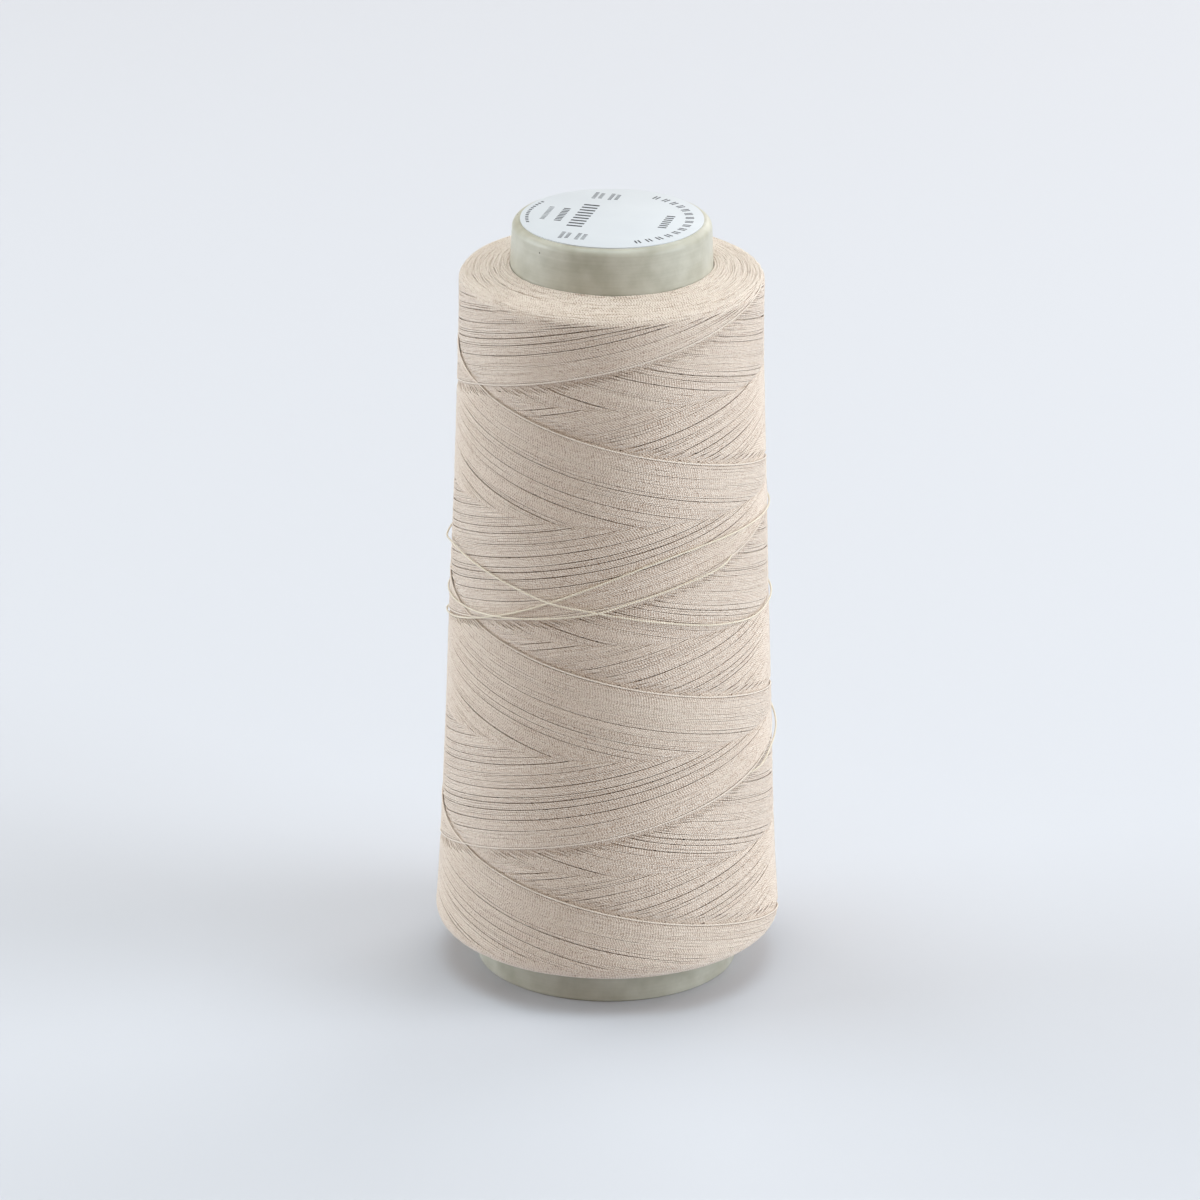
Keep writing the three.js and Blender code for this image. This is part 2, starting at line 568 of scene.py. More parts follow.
class WindingSurface:
    """Finds places on the winding by their run along its outline and their angle round it."""

    def __init__(self, outline: WindingOutline) -> None:
        """Measure the outline.

        Args:
            outline: The winding's outline.
        """
        rows = outline.outline()
        steps = np.hypot(*np.diff(rows, axis=0).T)
        self._run = np.concatenate([[0.0], np.cumsum(steps)])
        self._rows = rows
        fine = np.linspace(0, self._run[-1], 2000)
        radius, z = self._line(fine)
        lean_out, lean_up = np.gradient(radius, fine), np.gradient(z, fine)
        softening = np.hanning(25) / np.hanning(25).sum()
        self._fine = fine
        self._normal_out = np.convolve(np.pad(lean_up, 12, "edge"), softening, "valid")
        self._normal_up = np.convolve(np.pad(-lean_out, 12, "edge"), softening, "valid")
        self.length = float(self._run[-1])
        self.base_edge = float(steps[0] + outline.base_rounding * math.pi / 4)
        self.side_foot = float(steps[0] + outline.base_rounding * math.pi / 2)
        self.top_edge = float(self.length - steps[-1] - outline.top_rounding * math.pi / 4)
        self.top_face = float(self.length - steps[-1])

    def _line(self, run: np.ndarray) -> tuple[np.ndarray, np.ndarray]:
        """Return radius and height at runs along the outline."""
        return np.interp(run, self._run, self._rows[:, 0]), np.interp(run, self._run, self._rows[:, 1])

    def run_at_height(self, z: float) -> float:
        """Return the run along the outline at a height on the side."""
        return float(np.interp(z, self._rows[:, 1], self._run))

    def place(
        self, angle: np.ndarray, run: np.ndarray, lift: np.ndarray | float
    ) -> tuple[np.ndarray, np.ndarray]:
        """Find points on or over the surface.

        Args:
            angle: Radians round the cone from its front, positive to the right.
            run: Distance along the outline.
            lift: Height over the surface.

        Returns:
            The points, and the surface's outward normals there, each with a last axis of three.
        """
        radius, z = self._line(run)
        out = np.interp(run, self._fine, self._normal_out)
        up = np.interp(run, self._fine, self._normal_up)
        size = np.hypot(out, up)
        out, up = out / size, up / size
        side, ahead = np.sin(angle), -np.cos(angle)
        reach = radius + lift * out
        points = np.stack([reach * side, reach * ahead, z + lift * up], axis=-1)
        normals = np.stack([out * side, out * ahead, up * np.ones_like(side)], axis=-1)
        return points, normals


# ------------------------------------------------------------
# Threads as meshes
# ------------------------------------------------------------


@dataclass
class ThreadLines:
    """Many threads of one thickness: their centrelines, the way up along them, and each thread's tone."""

    points: np.ndarray
    normals: np.ndarray
    tones: np.ndarray

    def part(self, chosen: slice) -> "ThreadLines":
        """Return some of the threads."""
        return ThreadLines(self.points[chosen], self.normals[chosen], self.tones[chosen])

    def mesh(self, name: str, radius: float, sides: int = 5) -> bpy.types.Object:
        """Make one piece of all the threads, each a closed round strand with a flat side down.

        Args:
            name: The piece's name.
            radius: A thread's radius.
            sides: Sides of a thread's section.

        Returns:
            The piece, with a map of length in millimetres and share of a turn, and each thread's tone.
        """
        threads, steps = self.points.shape[:2]
        forward = np.gradient(self.points, axis=1)
        across = np.cross(forward, self.normals)
        across /= np.linalg.norm(across, axis=-1, keepdims=True)
        up = np.cross(across, forward)
        up /= np.linalg.norm(up, axis=-1, keepdims=True)
        turn = TURN * (np.arange(sides) / sides) + math.pi / 2
        ring = np.cos(turn)[:, None] * across[..., None, :] + np.sin(turn)[:, None] * up[..., None, :]
        vertices = (self.points[..., None, :] + radius * ring).reshape(-1, 3)

        corner = np.arange(threads * steps * sides).reshape(threads, steps, sides)
        near, far = corner[:, :-1], corner[:, 1:]
        walls = np.stack([near, far, np.roll(far, -1, axis=2), np.roll(near, -1, axis=2)], axis=-1)
        ends = np.concatenate([corner[:, 0], corner[:, -1, ::-1]])

        gone = np.linalg.norm(np.diff(self.points, axis=1), axis=-1).cumsum(axis=1) / MM
        length = np.concatenate([np.zeros((threads, 1)), gone], axis=1)
        share = np.arange(sides) / sides
        shape = (threads, steps - 1, sides)
        u_near = np.broadcast_to(length[:, :-1, None], shape)
        u_far = np.broadcast_to(length[:, 1:, None], shape)
        v_low = np.broadcast_to(share, shape)
        v_high = v_low + 1 / sides
        wall_map = np.stack(
            [
                np.stack([u_near, v_low], axis=-1),
                np.stack([u_far, v_low], axis=-1),
                np.stack([u_far, v_high], axis=-1),
                np.stack([u_near, v_high], axis=-1),
            ],
            axis=-2,
        )
        end_map = np.zeros((ends.size, 2))

        mesh = bpy.data.meshes.new(name)
        mesh.vertices.add(len(vertices))
        mesh.vertices.foreach_set("co", vertices.ravel())
        wall_count = walls.size // 4
        mesh.loops.add(walls.size + ends.size)
        mesh.loops.foreach_set("vertex_index", np.concatenate([walls.ravel(), ends.ravel()]))
        mesh.polygons.add(wall_count + len(ends))
        starts = np.concatenate([np.arange(wall_count) * 4, walls.size + np.arange(len(ends)) * sides])
        mesh.polygons.foreach_set("loop_start", starts)
        mesh.update(calc_edges=True)
        mesh.shade_smooth()
        layer = mesh.uv_layers.new(name="along")
        layer.data.foreach_set("uv", np.concatenate([wall_map.ravel(), end_map.ravel()]))
        tone = mesh.attributes.new("tone", "FLOAT", "POINT")
        tone.data.foreach_set("value", np.repeat(self.tones, steps * sides))

        piece = bpy.data.objects.new(name, mesh)
        bpy.context.collection.objects.link(piece)
        return piece


def drift(
    rng: np.random.Generator, threads: int, steps: int, knots: int, reach: float, kinship: int
) -> np.ndarray:
    """Make a smooth random sideways drift for every thread, much the same in near neighbours.

    Args:
        rng: The source of chance.
        threads: How many threads.
        steps: Points along a thread.
        knots: Random values along a thread, eased between.
        reach: The drift's usual size.
        kinship: Over how many neighbours the drift is shared.

    Returns:
        The drift, a row for each thread.
    """
    raw = rng.normal(size=(threads + kinship, knots))
    kernel = np.hanning(kinship + 2)[1:-1]
    kernel /= np.sqrt((kernel**2).sum())
    shared = np.stack([np.convolve(column, kernel, "valid")[:threads] for column in raw.T], axis=1)
    place = np.linspace(0, knots - 1.001, steps)
    left = place.astype(int)
    share = place - left
    share = share * share * (3 - 2 * share)
    return reach * (shared[:, left] * (1 - share) + shared[:, left + 1] * share)


# ------------------------------------------------------------
# The sub-assemblies
# ------------------------------------------------------------


@dataclass
class TaperedTube:
    """The moulded tube that carries the thread: a taper with an open foot and an end wall at its nose."""

    foot_radius: float
    height: float
    nose_radius: float = 14.45 * MM
    wall: float = 1.5 * MM
    end_wall: float = 1.6 * MM
    nose_rounding: float = 1.15 * MM
    foot_rounding: float = 0.35 * MM
    inner_foot_rounding: float = 0.25 * MM
    hole_rounding: float = 0.2 * MM
    spindle_hole_radius: float = 5.0 * MM
    rim_vertices: int = 160
    finish: MouldedPolypropylene = field(default_factory=MouldedPolypropylene)

    @property
    def taper(self) -> float:
        """How much the outer radius falls for each metre of height."""
        return (self.foot_radius - self.nose_radius) / (self.height - self.nose_rounding)

    def build(self) -> bpy.types.Object:
        """Model the tube from a cylinder: taper it, hollow it, open its spindle hole and round its rims."""
        clear_selection()
        bpy.ops.mesh.primitive_cylinder_add(
            vertices=self.rim_vertices,
            radius=self.foot_radius,
            depth=self.height,
            location=(0, 0, self.height / 2),
        )
        bpy.ops.object.transform_apply(location=True, rotation=False, scale=False)
        bpy.ops.object.mode_set(mode="EDIT")
        top_radius = self.foot_radius - self.taper * self.height
        self._scale_face(self.height, 1.0, top_radius / self.foot_radius)

        pick_faces(lambda middle, normal: normal.z < -0.9)
        bpy.ops.mesh.inset(thickness=self.wall)
        inner_z = self.height - self.end_wall
        bpy.ops.mesh.extrude_region_move(TRANSFORM_OT_translate={"value": (0, 0, inner_z)})
        inner_foot = self.foot_radius - self.wall
        inner_nose = inner_foot - self.taper * inner_z
        self._scale_face(inner_z, -1.0, inner_nose / inner_foot)

        self._hole_in(inner_z, -1.0, inner_nose)
        self._hole_in(self.height, 1.0, top_radius)
        pick_faces(
            lambda middle, normal: abs(normal.z) > 0.9
            and distance_out(middle) < 0.1 * MM
            and middle.z > self.height / 2
        )
        bpy.ops.mesh.bridge_edge_loops()

        self._round(self.height, top_radius, self.nose_rounding, 8)
        self._round(0.0, self.foot_radius, self.foot_rounding, 4)
        self._round(0.0, inner_foot, self.inner_foot_rounding, 3)
        self._round(self.height, self.spindle_hole_radius, self.hole_rounding, 2)
        return leave_edit("tapered_tube")

    @staticmethod
    def _pick_level(z: float, facing: float) -> None:
        """Select the level face at a height that faces up, 1, or down, -1."""
        pick_faces(lambda middle, normal: normal.z * facing > 0.9 and abs(middle.z - z) < 0.1 * MM)

    def _scale_face(self, z: float, facing: float, factor: float) -> None:
        """Scale the level face at a height about the axis."""
        self._pick_level(z, facing)
        bpy.ops.transform.resize(value=(factor, factor, 1), center_override=(0, 0, z))

    def _hole_in(self, z: float, facing: float, outer: float) -> None:
        """Inset the level face at a height down to the spindle hole."""
        self._pick_level(z, facing)
        bpy.ops.mesh.inset(thickness=outer - self.spindle_hole_radius)

    def _round(self, z: float, radius: float, rounding: float, segments: int) -> None:
        """Round the circular edge at a height and radius."""
        pick_edges(lambda end: abs(end.z - z) < 0.02 * MM and abs(distance_out(end) - radius) < 0.1 * MM)
        bpy.ops.mesh.bevel(offset=rounding, segments=segments, affect="EDGES", profile=0.5)

    def make(self) -> None:
        """Build the tube and dress it."""
        piece = self.build()
        dress(piece, self.finish.material())
        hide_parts("cone_tube")
        report(piece)


@dataclass
class Label:
    """The round paper label on the nose, with plain printed bars in place of words."""

    radius: float
    under_z: float
    top_z: float
    reading_turn: float = math.radians(-105)
    ink_rise: float = 0.02 * MM
    paper: LabelPaper = field(default_factory=LabelPaper)
    ink: PrintingInk = field(default_factory=PrintingInk)

    def build_disc(self) -> bpy.types.Object:
        """Model the disc from a filled circle: raise it to the paper's thickness and soften its cut edge."""
        clear_selection()
        bpy.ops.mesh.primitive_circle_add(
            vertices=160, radius=self.radius, fill_type="NGON", location=(0, 0, self.under_z)
        )
        bpy.ops.object.transform_apply(location=True, rotation=False, scale=False)
        bpy.ops.object.mode_set(mode="EDIT")
        bpy.ops.mesh.select_all(action="SELECT")
        thickness = self.top_z - self.under_z
        bpy.ops.mesh.extrude_region_move(TRANSFORM_OT_translate={"value": (0, 0, thickness)})
        pick_edges(lambda end: end.z > self.top_z - thickness / 4)
        bpy.ops.mesh.bevel(offset=thickness / 3, segments=2, affect="EDGES")
        return leave_edit("label_disc_paper")

    def build_print(self) -> bpy.types.Object:
        """Model the print from small flat bars, joined and then raised to the ink's thickness."""
        clear_selection()
        marks = []
        for stroke in (-1.4, 1.4):
            marks += self._arc_row(11.2, 160 + stroke, 34 + stroke, 15, (0.22, 1.2))
            marks += self._arc_row(12.3, 250 + stroke / 3, 294 + stroke / 3, 13, (0.14, 0.45))
        marks += self._row(-0.4, 8.0, 7, 0.85, (0.34, 1.25))
        marks += self._row(0.1, -4.3, 9, 1.2, (0.45, 2.3))
        marks += self._row(0.5, -7.3, 9, 0.68, (0.3, 1.0))
        marks += self._row(0.4, -9.6, 11, 0.55, (0.16, 0.7))
        for u in (-9.2, 9.3):
            for v in (-2.1, -4.5):
                marks += self._row(u, v + 0.45, 5, 0.5, (0.2, 0.55))
                marks += self._row(u, v - 0.45, 6, 0.5, (0.2, 0.55))
        clear_selection()
        for mark in marks:
            mark.select_set(True)
        bpy.context.view_layer.objects.active = marks[0]
        bpy.ops.object.join()
        bpy.ops.object.mode_set(mode="EDIT")
        bpy.ops.mesh.select_all(action="SELECT")
        bpy.ops.mesh.extrude_region_move(TRANSFORM_OT_translate={"value": (0, 0, self.ink_rise)})
        return leave_edit("label_print")

    def _mark(self, u: float, v: float, lean: float, size: tuple[float, float]) -> bpy.types.Object:
        """Lay one flat bar on the label.

        Args:
            u: Place along the reading line, in millimetres from the label's middle.
            v: Place above it.
            lean: The bar's turn from the reading line, in radians.
            size: Length and height of the bar, in millimetres.

        Returns:
            The bar.
        """
        turn = self.reading_turn
        x = (u * math.cos(turn) - v * math.sin(turn)) * MM
        y = (u * math.sin(turn) + v * math.cos(turn)) * MM
        bpy.ops.mesh.primitive_plane_add(size=MM, location=(x, y, self.top_z), rotation=(0, 0, turn + lean))
        mark = bpy.context.object
        mark.scale = (*size, 1)
        bpy.ops.object.transform_apply(location=True, rotation=True, scale=True)
        return mark

    def _row(
        self, u: float, v: float, count: int, pitch: float, size: tuple[float, float]
    ) -> list[bpy.types.Object]:
        """Lay a straight row of bars about a place on the label, all in millimetres."""
        starts = [(i - (count - 1) / 2) * pitch for i in range(count)]
        return [self._mark(u + start, v, 0.0, size) for start in starts]

    def _arc_row(
        self, radius: float, start: float, end: float, count: int, size: tuple[float, float]
    ) -> list[bpy.types.Object]:
        """Lay a row of bars round the rim, between two angles in degrees from the reading line."""
        marks = []
        for i in range(count):
            angle = math.radians(start + (end - start) * i / (count - 1))
            u, v = radius * math.cos(angle), radius * math.sin(angle)
            marks.append(self._mark(u, v, angle - math.pi / 2, size))
        return marks

    def make(self) -> None:
        """Build the label and dress it."""
        disc = self.build_disc()
        dress(disc, self.paper.material())
        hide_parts("label_disc")
        report(disc)
        marks = self.build_print()
        dress(marks, self.ink.material())
        report(marks)


@dataclass
class CrossWinding:
    """The wound package: two families of crossing strokes, their turning loops, and the bed under them."""

    outline: WindingOutline
    climb: float = 35.6 * MM
    strokes_per_climb: int = 143
    thread_radius: float = 0.125 * MM
    newest_lift: float = 0.1 * MM
    layer_fall: float = 0.12 * MM
    under_depth: float = 0.3 * MM
    under_softness: float = 0.04
    front_margin: float = 0.03
    front_rise: float = 0.06 * MM
    step_length: float = 2.0 * MM
    rising_front_z: float = 63.8 * MM
    falling_front_z: float = 52.0 * MM
    turn_softness: float = 0.8 * MM
    edge_overrun: float = 2.2
    tail_dip: float = 0.3 * MM
    shared_wander: float = 0.03 * MM
    own_wander: float = 0.018 * MM
    lift_wander: float = 0.016 * MM
    # The newest stroke's tone, far above the rest, pales its colour as a painted highlight.
    newest_highlight_tone: float = 3.5
    spare_strokes: int = 5
    bed_depth: float = 0.55 * MM
    ring_pitch: float = 0.17 * MM
    arcs_per_ring: int = 46
    seed: int = 11
    thread: SpunThread = field(default_factory=SpunThread)
    bed: ThreadBed = field(default_factory=ThreadBed)

    def __post_init__(self) -> None:
        """Measure the surface that the thread lies on."""
        self.surface = WindingSurface(self.outline)

    def offsets(self, rng: np.random.Generator, strokes: int, lay: Lay) -> np.ndarray:
        """Space the strokes of one family, the newest first, bunched and with a gap here and there.

        Args:
            rng: The source of chance.
            strokes: How many strokes, a little over one climb's worth.
            lay: Which way they run. The falling strokes lie closer, with fewer gaps.

        Returns:
            Each stroke's distance from the newest, along the outline.
        """
        spacing = rng.uniform(0.9, 1.06, strokes)
        first, fewest, most = (9, 2, 8) if lay is Lay.RISING else (11, 2, 12)
        opened = first + np.cumsum(rng.integers(fewest, most, strokes))
        opened = opened[opened < strokes]
        spacing[opened] += 0.2 + 0.6 * rng.random(len(opened)) ** 1.4
        spacing[0] += 0.45
        placed = np.concatenate([[0.0], np.cumsum(spacing)])
        return placed[:-1] * self.climb / placed[self.strokes_per_climb]

    def front_run(self, lay: Lay) -> float:
        """Return where on the outline a family's newest stroke crosses the cone's front."""
        front_z = self.rising_front_z if lay is Lay.RISING else self.falling_front_z
        return self.surface.run_at_height(front_z)

    def age_there(self, lay: Lay, angle: np.ndarray, run: np.ndarray) -> np.ndarray:
        """Find how old a family's strokes are at places on the winding.

        Args:
            lay: The family.
            angle: Radians round the cone.
            run: Distance along the outline.

        Returns:
            Ages from 0, the newest, to 1. Just past the newest stroke they still count as new, so that what
            it crosses comes up again a little clear of it.
        """
        offset = lay.value * (run - self.front_run(lay)) - angle * self.climb / TURN
        age = (offset / self.climb + self.front_margin) % 1
        return np.maximum(age - self.front_margin, 0)

    def strokes(self, lay: Lay) -> ThreadLines:
        """Lay one family of strokes from shoulder to shoulder.

        Args:
            lay: Which way they run.

        Returns:
            The strokes, the newest first.
        """
        rng = np.random.default_rng(self.seed + lay.value)
        count = self.strokes_per_climb + self.spare_strokes
        offset = self.offsets(rng, count, lay)
        surface = self.surface
        over = self.edge_overrun * self.turn_softness
        start, end = surface.base_edge - over, surface.top_edge + over
        height = end - start
        turns = height / self.climb
        length = math.hypot(height, turns * TURN * self.outline.base_radius)
        steps = math.ceil(length / self.step_length)
        straight = np.linspace(start, end, steps)

        at_front = self.front_run(lay) + lay.value * offset
        angle = lay.value * (straight[None, :] - at_front[:, None]) * TURN / self.climb

        low = surface.base_edge + rng.uniform(-0.9, 0.5, (count, 1)) * MM
        high = surface.top_edge + rng.uniform(-0.5, 0.7, (count, 1)) * MM
        run = self._held_between(np.broadcast_to(straight, angle.shape), low, high)
        shared = drift(rng, count, steps, knots=26, reach=self.shared_wander, kinship=9)
        run = run + shared + drift(rng, count, steps, knots=70, reach=self.own_wander, kinship=1)

        age = offset[:, None] / self.climb
        crossed_age = self.age_there(Lay(-lay.value), angle, straight)
        under = np.clip((age - crossed_age) / self.under_softness + 0.5, 0, 1)
        lift = self.newest_lift - self.layer_fall * age - self.under_depth * under
        lift = lift + drift(rng, count, steps, knots=80, reach=self.lift_wander, kinship=1)
        lift[0] += self.front_rise
        tail = np.clip((np.abs(straight - (start + end) / 2) - height / 2 + over) / over, 0, 1)
        lift = lift - self.tail_dip * tail**2
        points, normals = surface.place(angle, run, lift)
        tones = rng.random(count)
        # The newest stroke is painted paler: a painted highlight.
        tones[0] = self.newest_highlight_tone
        return ThreadLines(points, normals, tones)

    def _held_between(self, run: np.ndarray, low: np.ndarray, high: np.ndarray) -> np.ndarray:
        """Bend strokes softly level as they come to the winding's two edges."""
        soft = self.turn_softness
        eased = high - soft * np.logaddexp(0, (high - run) / soft)
        return low + soft * np.logaddexp(0, (eased - low) / soft)

    def turning_loops(self, shoulder: Shoulder) -> ThreadLines:
        """Lay the short arcs where strokes turned back, which show on the level faces.

        Args:
            shoulder: Which end of the winding.

        Returns:
            The arcs.
        """
        rng = np.random.default_rng(self.seed + 100 + len(shoulder.value) * 7)
        surface = self.surface
        if shoulder is Shoulder.NOSE:
            inner, outer = surface.length - 0.1 * MM, surface.top_edge - 0.4 * MM
        else:
            inner, outer = 0.1 * MM, surface.base_edge + 1.5 * MM
        width = abs(outer - inner)
        rings = round(width / self.ring_pitch)
        count = rings * self.arcs_per_ring
        ring_shares = np.repeat((np.arange(rings) + 0.5) / rings, self.arcs_per_ring)
        share = ring_shares + rng.normal(0, 0.6 / rings, count)
        middle = inner + (outer - inner) * np.clip(share, 0.01, 1)
        middle_angle = rng.uniform(0, TURN, count)
        half_span = np.radians(rng.uniform(12, 30, count))
        along = np.linspace(-1, 1, 9)
        angle = middle_angle[:, None] + half_span[:, None] * along
        slant = rng.normal(0, 0.18, (count, 1)) * MM
        bow = rng.uniform(0.0, 0.4, (count, 1)) * MM * math.copysign(1, outer - inner)
        run = middle[:, None] + slant * along + bow * along**2
        run = np.clip(run, 0.02 * MM, surface.length - 0.02 * MM)
        top = rng.uniform(-0.18, 0.06, (count, 1)) * MM
        lift = top - 0.25 * MM * np.abs(along) ** 3
        points, normals = surface.place(angle, run, lift)
        return ThreadLines(points, normals, rng.random(count))

    def build_bed(self) -> bpy.types.Object:
        """Model the bed by extruding a ring along the winding's outline, a little inside the threads."""
        stops = np.linspace(0, self.surface.length, 60)
        points, _ = self.surface.place(np.full_like(stops, math.pi / 2), stops, -self.bed_depth)
        profile = [(float(x), float(z)) for x, z in zip(points[:, 0], points[:, 2])]
        clear_selection()
        radius, z = profile[0]
        bpy.ops.mesh.primitive_circle_add(vertices=144, radius=radius, location=(0, 0, z))
        bpy.ops.object.transform_apply(location=True, rotation=False, scale=False)
        bpy.ops.object.mode_set(mode="EDIT")
        bpy.ops.mesh.select_all(action="SELECT")
        for next_radius, next_z in profile[1:]:
            bpy.ops.mesh.extrude_region_move(TRANSFORM_OT_translate={"value": (0, 0, next_z - z)})
            factor = next_radius / radius
            bpy.ops.transform.resize(value=(factor, factor, 1), center_override=(0, 0, next_z))
            radius, z = next_radius, next_z
        bpy.ops.mesh.select_mode(type="EDGE")
        bpy.ops.mesh.select_all(action="DESELECT")
        bpy.ops.mesh.select_non_manifold()
        bpy.ops.mesh.bridge_edge_loops()
        return leave_edit("thread_bed")

    def make(self) -> None:
        """Build the winding and dress it."""
        thread = self.thread.material()
        self._finish(self.build_bed(), self.bed.material())
        for lay in Lay:
            lines = self.strokes(lay)
            half = len(lines.tones) // 2
            for label, chosen in (("new", slice(0, half)), ("old", slice(half, None))):
                name = f"{lay.name.lower()}_strokes_{label}"
                self._finish(lines.part(chosen).mesh(name, self.thread_radius), thread)
        for shoulder in Shoulder:
            name = f"{shoulder.value}_turning_loops"
            self._finish(self.turning_loops(shoulder).mesh(name, self.thread_radius), thread)

    @staticmethod
    def _finish(piece: bpy.types.Object, material: bpy.types.Material) -> None:
        """Dress a piece of the winding."""
        dress(piece, material)
        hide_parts("thread_winding")
        report(piece)


# The loose last wraps: degrees round the cone from the front, then height and stand-off from the winding,
# both in metres.
RUNNING_END = [
    (-298, 0.0340, 0.00042),
    (-284, 0.0354, 0.00060),
    (-270, 0.0368, 0.00080),
    (-255, 0.0383, 0.00060),
    (-215, 0.0422, 0.00042),
    (-170, 0.0466, 0.00042),
    (-130, 0.0506, 0.00042),
    (-95, 0.0540, 0.00050),
    (-65, 0.0570, 0.00042),
    (-40, 0.0606, 0.00042),
    (-20, 0.0642, 0.00042),
    (-4, 0.0672, 0.00042),
    (18, 0.0705, 0.00042),
    (35, 0.0718, 0.00042),
    (55, 0.0723, 0.00050),
    (95, 0.0718, 0.00050),
    (140, 0.0704, 0.00042),
    (190, 0.0684, 0.00042),
    (235, 0.0664, 0.00042),
    (268, 0.0660, 0.00085),
    (284, 0.0672, 0.00085),
    (300, 0.0668, 0.00060),
    (326, 0.0651, 0.00060),
    (340, 0.0640, 0.00100),
    (353, 0.0632, 0.00055),
    (376, 0.0614, 0.00042),
    (406, 0.0588, 0.00042),
    (424, 0.0578, 0.00042),
    (440, 0.0579, 0.00050),
    (480, 0.0574, 0.00050),
    (540, 0.0566, 0.00042),
    (600, 0.0572, 0.00042),
    (642, 0.0586, 0.00042),
    (664, 0.0594, 0.00060),
    (676, 0.0601, 0.00095),
    (690, 0.0609, 0.00055),
    (704, 0.0620, 0.00060),
    (716, 0.0632, 0.00100),
    (728, 0.0646, 0.00055),
    (745, 0.0663, 0.00042),
    (768, 0.0686, 0.00042),
]


@dataclass
class RunningEnd:
    """The thread's loose last wraps, a plied cord that stands a little off the winding."""

    outline: WindingOutline
    diameter: float = 0.3 * MM
    ply_swell: float = 0.14
    plies: int = 3
    twist: float = 1.2 * MM
    step_length: float = 0.12 * MM
    sides: int = 12
    tuck_degrees: float = 4.0
    tuck_depth: float = 0.3 * MM
    tone: float = 0.8
    thread: SpunThread = field(
        default_factory=lambda: SpunThread(name="spun_thread_running_end", pale="#eadfcc", deep="#dccdb7")
    )

    def route(self) -> np.ndarray:
        """Return the route as close points, with both ends tucked under the outer threads."""
        rows = np.array(RUNNING_END)
        first, last = rows[0].copy(), rows[-1].copy()
        slope = (rows[1, 1] - rows[0, 1]) / (rows[1, 0] - rows[0, 0])
        first += (-self.tuck_degrees, -self.tuck_degrees * slope, -first[2] - self.tuck_depth)
        slope = (rows[-1, 1] - rows[-2, 1]) / (rows[-1, 0] - rows[-2, 0])
        last += (self.tuck_degrees, self.tuck_degrees * slope, -last[2] - self.tuck_depth)
        rows = np.vstack([first, rows, last])
        degrees = np.linspace(rows[0, 0], rows[-1, 0], 6000)
        z, stand_off = (self._eased(rows[:, 0], rows[:, column], degrees) for column in (1, 2))
        angle = np.radians(degrees)
        radius = self.outline.side_radius(z) + stand_off
        line = np.column_stack([radius * np.sin(angle), -radius * np.cos(angle), z])
        run = np.concatenate([[0], np.cumsum(np.linalg.norm(np.diff(line, axis=0), axis=1))])
        even = np.linspace(0, run[-1], math.ceil(run[-1] / self.step_length))
        return np.column_stack([np.interp(even, run, line[:, axis]) for axis in range(3)])

    @staticmethod
    def _eased(knots: np.ndarray, values: np.ndarray, at: np.ndarray) -> np.ndarray:
        """Run a smooth curve through values at uneven knots, its slopes set by their neighbours."""
        slopes = np.gradient(values, knots)
        left = np.clip(np.searchsorted(knots, at, side="right") - 1, 0, len(knots) - 2)
        gap = knots[left + 1] - knots[left]
        t = (at - knots[left]) / gap
        return (
            (2 * t**3 - 3 * t**2 + 1) * values[left]
            + (t**3 - 2 * t**2 + t) * gap * slopes[left]
            + (3 * t**2 - 2 * t**3) * values[left + 1]
            + (t**3 - t**2) * gap * slopes[left + 1]
        )

    def build(self, line: np.ndarray) -> bpy.types.Object:
        """Model the cord as one twisted, lobed strand along its route.

        Args:
            line: The route.

        Returns:
            The piece.
        """
        out = line * (1, 1, 0)
        out /= np.linalg.norm(out, axis=1, keepdims=True)
        radius = self.diameter / 2 / (1 + self.ply_swell)
        strand = ThreadLines(line[None], out[None], np.array([self.tone]))
        piece = strand.mesh("running_thread", radius, self.sides)
        mesh = piece.data
        places = np.empty(len(mesh.vertices) * 3)
        mesh.vertices.foreach_get("co", places)
        places = places.reshape(len(line), self.sides, 3)
        run = np.arange(len(line)) * self.step_length
        turn = TURN * np.arange(self.sides) / self.sides
        twisted = self.plies * turn + TURN * self.plies * run[:, None] / self.twist
        swell = 1 + self.ply_swell * np.cos(twisted)
        places = line[:, None] + (places - line[:, None]) * swell[..., None]
        mesh.vertices.foreach_set("co", places.ravel())
        mesh.update()
        return piece

    def make(self) -> None:
        line = self.route()
        piece = self.build(line)
        dress(piece, self.thread.material())
        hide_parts("running_end")
        report(piece)


# ------------------------------------------------------------
# The studio
# ------------------------------------------------------------


@dataclass(frozen=True)
class Softbox:
    """One soft studio light: a square panel at a place, aimed at the middle of the cone."""

    name: str
    bearing: float
    elevation: float
    distance: float
    size: float
    power: float
    tint: str = "#ffffff"

    def light(self, aim: Vector) -> None:
        """Put up the light.

        Args:
            aim: Where it points.
        """
        bearing, elevation = math.radians(self.bearing), math.radians(self.elevation)
        level = math.cos(elevation)
        way = Vector((level * math.sin(bearing), -level * math.cos(bearing), math.sin(elevation)))
        lamp = bpy.data.lights.new(self.name, "AREA")
        lamp.shape = "SQUARE"
        lamp.size = self.size
        lamp.energy = self.power
        lamp.color = linear(self.tint)[:3]
        holder = bpy.data.objects.new(self.name, lamp)
        holder.location = aim + way * self.distance
        holder.rotation_euler = (-way).to_track_quat("-Z", "Y").to_euler()
        bpy.context.collection.objects.link(holder)


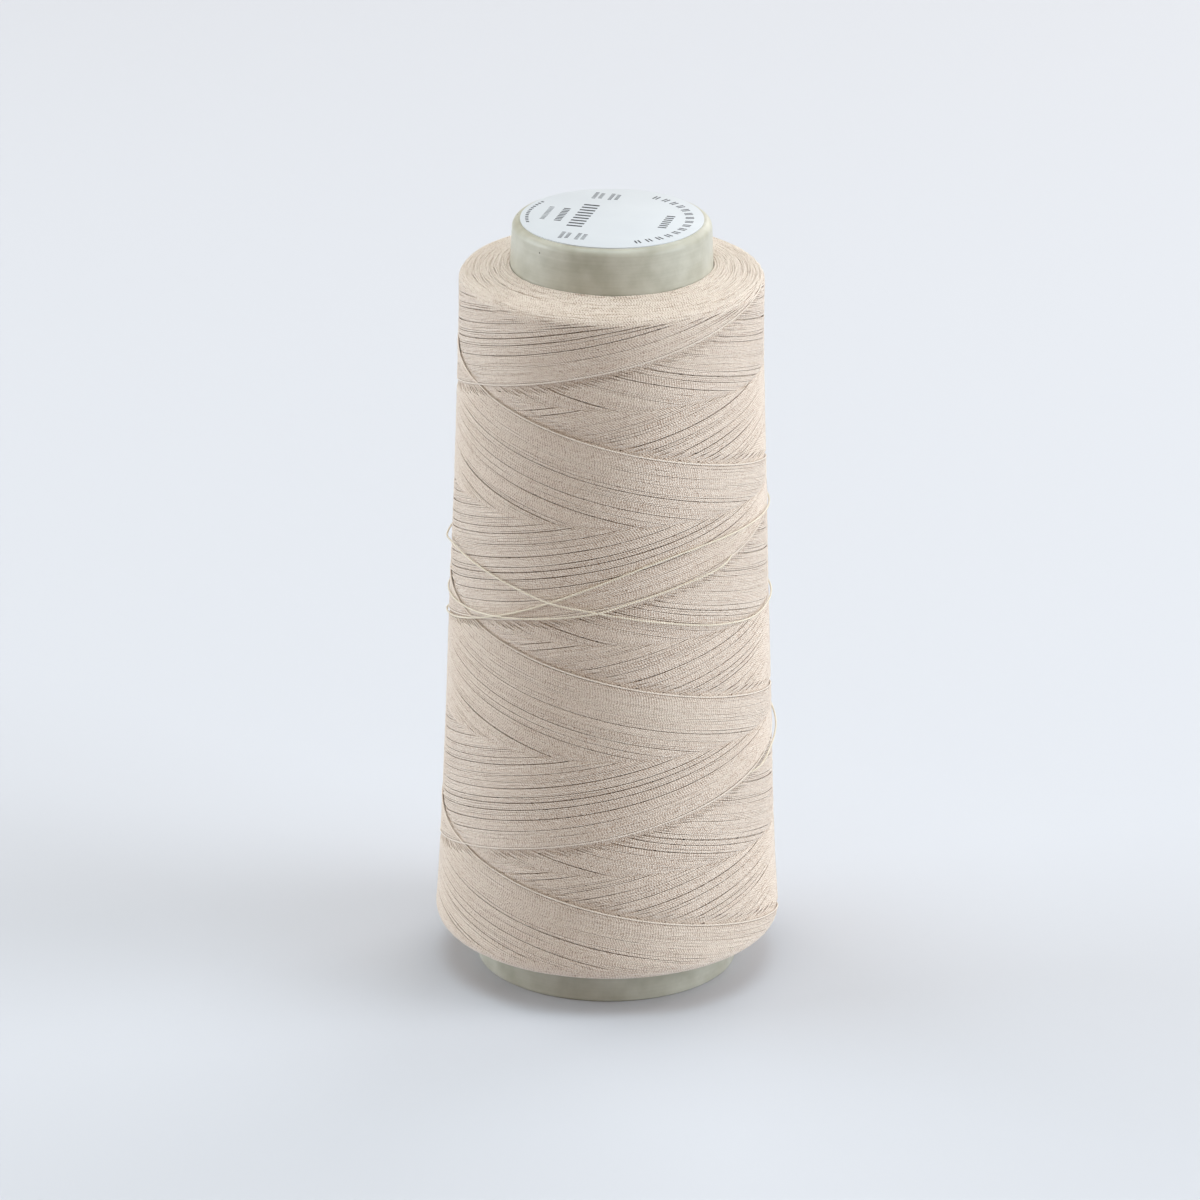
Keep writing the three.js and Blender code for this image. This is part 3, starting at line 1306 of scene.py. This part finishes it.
@dataclass
class Studio:
    """The camera, the pale floor and the soft light."""

    aim_z: float = 55.93 * MM
    aim_x: float = -1.36 * MM
    camera_distance: float = 1173 * MM
    camera_pitch: float = 21.38
    camera_roll: float = 0.4
    lens_mm: float = 240.0
    floor_size: float = 12.0
    sky: str = "#ffddb4"
    sky_strength: float = 0.32
    softboxes: tuple[Softbox, ...] = (
        Softbox("left_softbox", -96, 12, 1.1, 0.8, 10.00, "#eaf7ff"),
        Softbox("right_softbox", 72, 12, 1.1, 0.8, 9.31, "#e6f5ff"),
        Softbox("right_high_softbox", 85, 40, 1.1, 0.5, 3.00),
        Softbox("right_rear_softbox", 150, 27, 1.1, 0.8, 4.25),
        Softbox("left_rear_softbox", -130, 40, 1.1, 0.5, 1.75),
        Softbox("overhead_softbox", 0, 89, 1.3, 1.0, 9.5, "#dbf3ff"),
    )
    paper: StudioPaper = field(default_factory=StudioPaper)

    def place_camera(self) -> None:
        """Put the camera at its distance, pitch and slight roll, aimed at the cone's middle."""
        lens = bpy.data.cameras.new("camera")
        lens.sensor_width = 36.0
        lens.lens = self.lens_mm
        lens.clip_start = 0.05
        lens.clip_end = 50.0
        camera = bpy.data.objects.new("camera", lens)
        pitch = math.radians(self.camera_pitch)
        aim = Vector((self.aim_x, 0, self.aim_z))
        back = Vector((0, -math.cos(pitch), math.sin(pitch)))
        camera.location = aim + back * self.camera_distance
        turn = (-back).to_track_quat("-Z", "Y").to_matrix().to_4x4()
        roll = Matrix.Rotation(math.radians(self.camera_roll), 4, "Z")
        camera.rotation_euler = (turn @ roll).to_euler()
        bpy.context.collection.objects.link(camera)
        bpy.context.scene.camera = camera

    def light(self) -> None:
        """Set the sky's fill light and put up the softboxes."""
        world = bpy.data.worlds.new("studio_sky")
        world.use_nodes = True
        world.node_tree.nodes.clear()
        sky = {"Color": linear(self.sky), "Strength": self.sky_strength}
        glow = add_node(world.node_tree, "Background", sky)
        add_node(world.node_tree, "OutputWorld", {"Surface": glow.outputs[0]})
        bpy.context.scene.world = world
        bpy.context.scene.view_settings.view_transform = "Standard"
        for softbox in self.softboxes:
            softbox.light(Vector((0, 0, self.aim_z)))

    def lay_floor(self) -> None:
        """Lay the floor under the cone's foot."""
        clear_selection()
        bpy.ops.mesh.primitive_plane_add(size=self.floor_size, location=(0, 0, CAD_BOX[0][2]))
        floor = bpy.context.object
        floor.name = "studio_floor"
        floor.data.materials.append(self.paper.material())


def main() -> None:
    """Build the whole scene in order: camera and cord first, then the winding, tube, label and studio."""
    logging.basicConfig(level=logging.INFO, format="%(message)s")
    tube_low, tube_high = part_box("cone_tube")
    label_low, label_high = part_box("label_disc")
    winding_low, winding_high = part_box("thread_winding")

    studio = Studio()
    studio.place_camera()
    tube = TaperedTube(foot_radius=tube_high[0], height=tube_high[2] - tube_low[2])
    outline = WindingOutline(
        base_z=winding_low[2],
        top_z=winding_high[2],
        base_radius=winding_high[0],
        tube_foot_radius=tube.foot_radius,
        tube_taper=tube.taper,
    )
    RunningEnd(outline).make()
    CrossWinding(outline).make()
    tube.make()
    Label(radius=label_high[0], under_z=label_low[2], top_z=label_high[2]).make()
    studio.lay_floor()
    studio.light()


if __name__ == "__main__":
    main()
